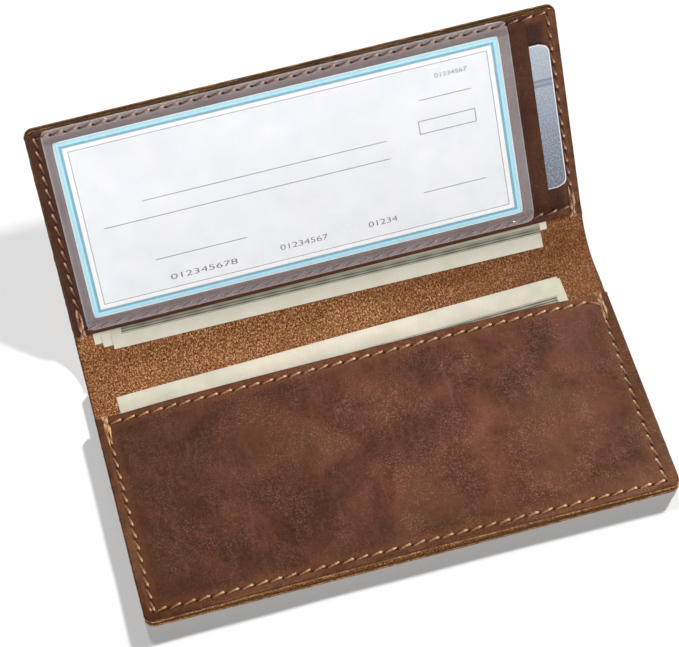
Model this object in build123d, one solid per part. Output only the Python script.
from build123d import *
import math
import os

# Checkbook cover: an open leather bifold, standing on its lower half.
# Millimetres. X runs along the fold, Y from the free edge of the lower half to the fold, Z up.
# The origin is the middle of the lower half's underside.

# What the cover holds
check_length = 149.8
check_height = 66.8
check_thickness = 0.12
card_length = 85.6
card_height = 54.0
card_thickness = 0.76
card_corner = 3.2
note_length = 157.0
note_height = 66.3
note_thickness = 0.1
front_note_length = 151.2

# Leather, window sheet and thread
shell_thickness = 1.8
pocket_thickness = 1.6
panel_thickness = 0.85
window_thickness = 0.25
corner_radius = 3.0
window_corner = 2.5
stitch_pitch = 4.75
stitch_length = 3.9
stitch_width = 0.8
stitch_height = 0.3
strand_spacing = 1.1
tack_foot = 1.0
groove_clearance = 0.1
seam_margin = 3.3
hem_margin = 2.6

# Room and running clearances
paper_gap = 0.05
card_gap = 0.05
fold_gap = 0.06
tip_gap = 0.15
edge_rim = 4.2
card_ramp = 4.2
note_side_room = 1.2
cut_past = 1.0

# Lengths across the lower half, from its free edge
pocket_depth = 79.2
mouth_to_fold = 1.4

# Lengths across the upper half, from its fold line
fold_to_panel = 4.7
panel_to_card_panel = 0.7
card_panel_to_window = 1.3
window_to_hem = 1.2
hem_to_check = 3.8
check_to_top_seam = 2.75
top_seam_margin = 1.95
window_setback = 0.3

# Places along the fold, from the left and right edges
window_inset = 5.1
check_inset = 3.1
check_to_window_end = 3.7
window_end_to_slot = 6.1
slot_to_edge = 11.2
card_to_edge = 4.3
card_low = 17.2

# How far each banknote stands out of its pocket
back_note_out = 4.1
middle_note_out = 4.85
front_note_out = 8.65
under_note_out = 8.7
top_note_out = 9.2

# How far the middle of each banknote lies from the middle of the cover, along the fold
back_note_shift = -5.0
middle_note_shift = -2.65
front_note_shift = -1.3
under_note_shift = -0.8
top_note_shift = -1.65

# How far each banknote is turned from square, in degrees
back_note_skew = 0.5
middle_note_skew = 1.1
front_note_skew = -0.64
under_note_skew = 1.47
top_note_skew = 1.47

# The fold: strips of the spine between fold lines, and how far the cover stands open
lower_fold_pitch = 3.5
upper_fold_pitch = 4.43
lower_folds = 4
upper_folds = 4
open_turn = 64.2

# Sizes that follow
check_side_width = (window_inset + check_inset + check_length + check_to_window_end
                    + window_end_to_slot + slot_to_edge)
largest_shift = max(abs(back_note_shift), abs(middle_note_shift), abs(front_note_shift),
                    abs(under_note_shift), abs(top_note_shift))
note_side_width = note_length + 2 * (largest_shift + note_side_room + edge_rim)
cover_width = max(check_side_width, note_side_width)
left_edge = -cover_width / 2
right_edge = cover_width / 2

lower_length = pocket_depth + mouth_to_fold
free_edge = -lower_length / 2
mouth_edge = free_edge + pocket_depth
first_fold = free_edge + lower_length

card_panel_low = fold_to_panel + panel_to_card_panel
window_low = card_panel_low + card_panel_to_window
hem_row = window_low + window_to_hem
check_low = hem_row + hem_to_check
check_high = check_low + check_height
top_row = check_high + check_to_top_seam
upper_length = top_row + top_seam_margin
window_high = upper_length - window_setback

window_left = left_edge + window_inset
check_left = window_left + check_inset
window_right = check_left + check_length + check_to_window_end
slot_edge = right_edge - slot_to_edge
card_right = right_edge - card_to_edge

lower_note_room = 2 * note_thickness + 3 * paper_gap
upper_note_room = 3 * note_thickness + 4 * paper_gap
card_lift = stitch_height + card_gap
card_room = card_lift + card_thickness + card_gap

pocket_top = shell_thickness + lower_note_room + pocket_thickness
bill_panel_top = upper_note_room + panel_thickness
card_rim_top = bill_panel_top + panel_thickness
card_top = card_rim_top + card_room
window_room = card_room + paper_gap + check_thickness + paper_gap


LOW_CORNERS = ("low_left", "low_right")
HIGH_CORNERS = ("high_left", "high_right")


def rounded_plate(x0, x1, y0, y1, z0, z1, radius, corners):
    """A flat plate with the named corners rounded."""
    middle_x, middle_y = (x0 + x1) / 2, (y0 + y1) / 2
    outline = Pos(middle_x, middle_y, z0) * Rectangle(x1 - x0, y1 - y0)
    chosen = []
    for vertex in outline.vertices():
        side = "left" if vertex.X < middle_x else "right"
        level = "low" if vertex.Y < middle_y else "high"
        if f"{level}_{side}" in corners:
            chosen.append(vertex)
    return extrude(fillet(chosen, radius), z1 - z0)


def box_between(x0, x1, y0, y1, z0, z1):
    """A plain box given by its corners."""
    return Pos((x0 + x1) / 2, (y0 + y1) / 2, (z0 + z1) / 2) * Box(x1 - x0, y1 - y0, z1 - z0)


def raised_pad(x0, x1, y0, y1, z0, rise, ramp):
    """A low block that slopes up from its left, low and high sides and is open at its right."""
    base = Pos((x0 + x1) / 2, (y0 + y1) / 2, z0) * Rectangle(x1 - x0, y1 - y0)
    crown = Pos((x0 + ramp + x1) / 2, (y0 + y1) / 2, z0 + rise) * Rectangle(
        x1 - x0 - ramp, y1 - y0 - 2 * ramp)
    return loft([base.face(), crown.face()])


def fold_lines():
    """The fold lines from the lower half to the upper, each with the turn that follows it."""
    pitches = [lower_fold_pitch] * lower_folds + [upper_fold_pitch] * (upper_folds - 1)
    turns = [0.0] * lower_folds + [open_turn / upper_folds] * upper_folds
    y, z, turn = first_fold, shell_thickness, 0.0
    lines = []
    for index, step in enumerate(turns):
        turn += step
        lines.append((y, z, turn))
        if index < len(pitches):
            y += pitches[index] * math.cos(math.radians(turn))
            z += pitches[index] * math.sin(math.radians(turn))
    return lines, pitches


folds, strip_pitches = fold_lines()


def on_fold(shape, index):
    """Place a shape drawn flat, with its fold line at Y 0 and its inner face at Z 0."""
    y, z, turn = folds[index]
    return Pos(0, y, z) * Rot(turn, 0, 0) * shape


def on_upper(shape):
    """Place a shape drawn flat on the upper half."""
    return on_fold(shape, lower_folds + upper_folds - 1)


def stitches_along(start, end, level):
    """Evenly spaced stitches in a row from one point to another, lying on level(x)."""
    dx, dy = end[0] - start[0], end[1] - start[1]
    length = math.hypot(dx, dy)
    count = round(length / stitch_pitch)
    angle = math.degrees(math.atan2(dy, dx))
    stitch = extrude(SlotOverall(stitch_length, stitch_width), stitch_height)
    row = []
    for index in range(count):
        share = (index + 0.5) / count
        x, y = start[0] + share * dx, start[1] + share * dy
        row.append(Pos(x, y, level(x)) * Rot(0, 0, angle) * stitch)
    return row


def stitches_around(corners, level):
    """Rows of stitches from each corner of a seam to the next."""
    return [s for a, b in zip(corners, corners[1:]) for s in stitches_along(a, b, level)]


def bartack(x, mouth, side, top, floor):
    """Two strands of thread over a pocket's mouth edge; side is +1 where the pocket is above it in Y."""
    strands = []
    for shift in (-strand_spacing / 2, strand_spacing / 2):
        x0, x1 = x + shift - stitch_width / 2, x + shift + stitch_width / 2
        inside = mouth + side * stitch_length
        outside = mouth - side * stitch_height
        foot_end = mouth - side * tack_foot
        over = box_between(x0, x1, min(inside, outside), max(inside, outside), top, top + stitch_height)
        riser = box_between(x0, x1, min(mouth, outside), max(mouth, outside), floor, top + stitch_height)
        foot = box_between(x0, x1, min(mouth, foot_end), max(mouth, foot_end), floor,
                           floor + stitch_height)
        strands.append(over + riser + foot)
    return strands


def seam_groove(x0, x1, y0, y1, z0, depth, row_side):
    """The channel that sinks a seam into the outside of the shell: two columns and one row."""
    half = stitch_width / 2 + groove_clearance
    row_y = y0 if row_side == "low" else y1
    left = box_between(x0 - half, x0 + half, y0 - half, y1 + half, z0, z0 + depth)
    right = box_between(x1 - half, x1 + half, y0 - half, y1 + half, z0, z0 + depth)
    row = box_between(x0 - half, x1 + half, row_y - half, row_y + half, z0, z0 + depth)
    return left + right + row


def note_sheet(length, mouth, out, shift, skew, level, pocket_side):
    """One banknote, drawn flat; pocket_side is +1 where the pocket lies above its mouth in Y."""
    middle_y = mouth + pocket_side * (note_height / 2 - out)
    sheet = Box(length, note_height, note_thickness)
    return Pos(shift, middle_y, level + note_thickness / 2) * Rot(0, 0, skew) * sheet


def band(y0, y1):
    """The space between two lines along the fold, to cut a note at the fold lines."""
    return box_between(left_edge, right_edge, y0, y1, -shell_thickness, pocket_top + shell_thickness)


parts = {}

# Shell of the lower half, one thickness of leather lying on the table
seam_left = left_edge + seam_margin
seam_right = right_edge - seam_margin
seam_low = free_edge + hem_margin
seam_mouth = mouth_edge - seam_margin / 2
lower_shell = rounded_plate(left_edge, right_edge, free_edge, first_fold - fold_gap / 2, 0,
                            shell_thickness, corner_radius, LOW_CORNERS)
lower_channel = seam_groove(seam_left, seam_right, seam_low, seam_mouth, 0, stitch_height, "low")
parts["shell_lower"] = lower_shell - lower_channel

# Front pocket of the lower half, sewn down on three sides
pocket_plate = rounded_plate(left_edge, right_edge, free_edge, mouth_edge, shell_thickness,
                             pocket_top, corner_radius, LOW_CORNERS)
pocket_cavity = box_between(left_edge + edge_rim, right_edge - edge_rim, free_edge + edge_rim,
                            mouth_edge + cut_past, shell_thickness,
                            shell_thickness + lower_note_room)
parts["lower_pocket"] = pocket_plate - pocket_cavity
lower_seam = [(seam_left, seam_mouth), (seam_left, seam_low), (seam_right, seam_low),
              (seam_right, seam_mouth)]
parts["pocket_side_seam"] = stitches_around(lower_seam, lambda x: pocket_top)
parts["lower_back_seam"] = stitches_around(lower_seam, lambda x: 0)

# Hem along the pocket's mouth, between the side seams, and the tacks at its ends
mouth_row = mouth_edge - hem_margin
hem_ends = [(seam_left + stitch_width, mouth_row), (seam_right - stitch_width, mouth_row)]
parts["pocket_hem_seam"] = stitches_around(hem_ends, lambda x: pocket_top)
parts["pocket_bartacks"] = [
    strand for x in (seam_left, seam_right)
    for strand in bartack(x, mouth_edge, -1, pocket_top + stitch_height, shell_thickness)]

# Spine: the strips of the shell between the fold lines
for index, pitch in enumerate(strip_pitches):
    strip = box_between(left_edge, right_edge, fold_gap / 2, pitch - fold_gap / 2, -shell_thickness, 0)
    parts[f"spine_strip_{index + 1}"] = on_fold(strip, index)

# Shell of the upper half
upper_seam_low = fold_to_panel + seam_margin / 2
upper_shell = rounded_plate(left_edge, right_edge, fold_gap / 2, upper_length, -shell_thickness, 0,
                            corner_radius, HIGH_CORNERS)
upper_channel = seam_groove(seam_left, seam_right, upper_seam_low, top_row, -shell_thickness,
                            stitch_height, "high")
parts["shell_upper"] = on_upper(upper_shell - upper_channel)

# Panel that makes the banknote pocket, sewn at both sides and the top, open at the fold
bill_plate = rounded_plate(left_edge, right_edge, fold_to_panel, upper_length, 0, bill_panel_top,
                           corner_radius, HIGH_CORNERS)
bill_cavity = box_between(left_edge + edge_rim, right_edge - edge_rim, fold_to_panel - cut_past,
                          upper_length - edge_rim, 0, upper_note_room)
parts["bill_panel"] = on_upper(bill_plate - bill_cavity)

# Panel over the card, sewn at the left, top and bottom, open at its right edge
card_rim = rounded_plate(left_edge, slot_edge, card_panel_low, upper_length, bill_panel_top,
                         card_rim_top, corner_radius, ("high_left", "low_right"))
pad_low = hem_row + stitch_width
pad_high = top_row - stitch_width
card_crown = raised_pad(window_left, slot_edge, pad_low, pad_high, card_rim_top, card_room, card_ramp)
card_hollow = raised_pad(window_left, slot_edge + cut_past, pad_low, pad_high, bill_panel_top,
                         card_room, card_ramp)
parts["card_panel"] = on_upper(card_rim + card_crown - card_hollow)

# Clear window sheet, sewn at its top and bottom edges, open at both ends for the check
profile = [
    (window_low, card_rim_top),
    (pad_low, card_rim_top),
    (check_low - paper_gap, card_rim_top + window_room),
    (check_high + paper_gap, card_rim_top + window_room),
    (pad_high, card_rim_top),
    (window_high, card_rim_top),
]
outer_profile = [(y, z + window_thickness) for y, z in reversed(profile)]
section = Plane.YZ * make_face(Polyline(*(profile + outer_profile), close=True))
window_sheet = Pos(window_left, 0, 0) * extrude(section, window_right - window_left)
window_outline = rounded_plate(window_left, window_right, window_low, window_high, 0,
                               card_top + window_room, window_corner, LOW_CORNERS + HIGH_CORNERS)
parts["clear_window"] = on_upper(window_sheet & window_outline)


def upper_level(x):
    """Top of the highest layer under a stitch of a row that runs along the fold."""
    reach = stitch_length / 2
    if window_left - reach < x < window_right + reach:
        return card_rim_top + window_thickness
    if x < slot_edge + reach:
        return card_rim_top
    return bill_panel_top


# Seams of the upper half: its two sides, its top, and the hem under the window
left_column = stitches_along((seam_left, upper_seam_low), (seam_left, top_row), lambda x: card_rim_top)
right_column = stitches_along((seam_right, top_row), (seam_right, upper_seam_low),
                              lambda x: bill_panel_top)
top_seam = stitches_along((seam_left, top_row), (seam_right, top_row), upper_level)
hem_seam = stitches_along((seam_left + stitch_width, hem_row), (seam_right - stitch_width, hem_row),
                          upper_level)
upper_seam = [(seam_left, upper_seam_low), (seam_left, top_row), (seam_right, top_row),
              (seam_right, upper_seam_low)]
back_seam = stitches_around(upper_seam, lambda x: -shell_thickness)
panel_tacks = (bartack(seam_left, fold_to_panel, 1, card_rim_top + stitch_height, 0)
               + bartack(seam_right, fold_to_panel, 1, bill_panel_top + stitch_height, 0))
parts["upper_side_seam"] = [on_upper(s) for s in left_column + top_seam + right_column]
parts["upper_back_seam"] = [on_upper(s) for s in back_seam]
parts["window_hem_seam"] = [on_upper(s) for s in hem_seam]
parts["panel_bartacks"] = [on_upper(strand) for strand in panel_tacks]

# Contents of the upper half
check_level = card_top + paper_gap
parts["check"] = on_upper(box_between(check_left, check_left + check_length, check_low, check_high,
                                      check_level, check_level + check_thickness))
card_level = bill_panel_top + card_lift
card = rounded_plate(card_right - card_length, card_right, card_low, card_low + card_height,
                     card_level, card_level + card_thickness, card_corner, LOW_CORNERS + HIGH_CORNERS)
parts["card"] = on_upper(card)

# Banknotes, cut at the fold lines so that their free ends can bend with the spine
upper_notes = [
    ("upper_note_back", note_length, back_note_out, back_note_shift, back_note_skew),
    ("upper_note_middle", note_length, middle_note_out, middle_note_shift, middle_note_skew),
    ("upper_note_front", front_note_length, front_note_out, front_note_shift, front_note_skew),
]
last_strip = lower_folds + upper_folds - 2
tip_band = band(-upper_fold_pitch + tip_gap, -tip_gap)
upper_tips = []
for index, (name, length, out, shift, skew) in enumerate(upper_notes):
    level = paper_gap + index * (note_thickness + paper_gap)
    sheet = note_sheet(length, fold_to_panel, out, shift, skew, level, 1)
    parts[name] = on_upper(sheet & band(tip_gap, upper_length))
    for tip in (sheet & tip_band).solids():
        upper_tips.append(on_fold(Pos(0, upper_fold_pitch, 0) * tip, last_strip))
parts["upper_note_tips"] = upper_tips

lower_notes = [
    ("lower_note_under", under_note_out, under_note_shift, under_note_skew),
    ("lower_note_top", top_note_out, top_note_shift, top_note_skew),
]
lower_sheets = []
for index, (name, out, shift, skew) in enumerate(lower_notes):
    level = shell_thickness + paper_gap + index * (note_thickness + paper_gap)
    sheet = note_sheet(note_length, mouth_edge, out, shift, skew, level, -1)
    parts[name] = sheet & band(free_edge, first_fold - tip_gap)
    lower_sheets.append(sheet)
for index, letter in enumerate("abc"):
    start = first_fold + index * lower_fold_pitch
    strip_band = band(start + tip_gap, start + lower_fold_pitch - tip_gap)
    parts[f"lower_note_tips_{letter}"] = [sheet & strip_band for sheet in lower_sheets]

os.makedirs("parts", exist_ok=True)
for name, shape in parts.items():
    if isinstance(shape, list):
        shape = Compound(children=[solid for piece in shape for solid in piece.solids()])
    export_step(shape, f"parts/{name}.step")
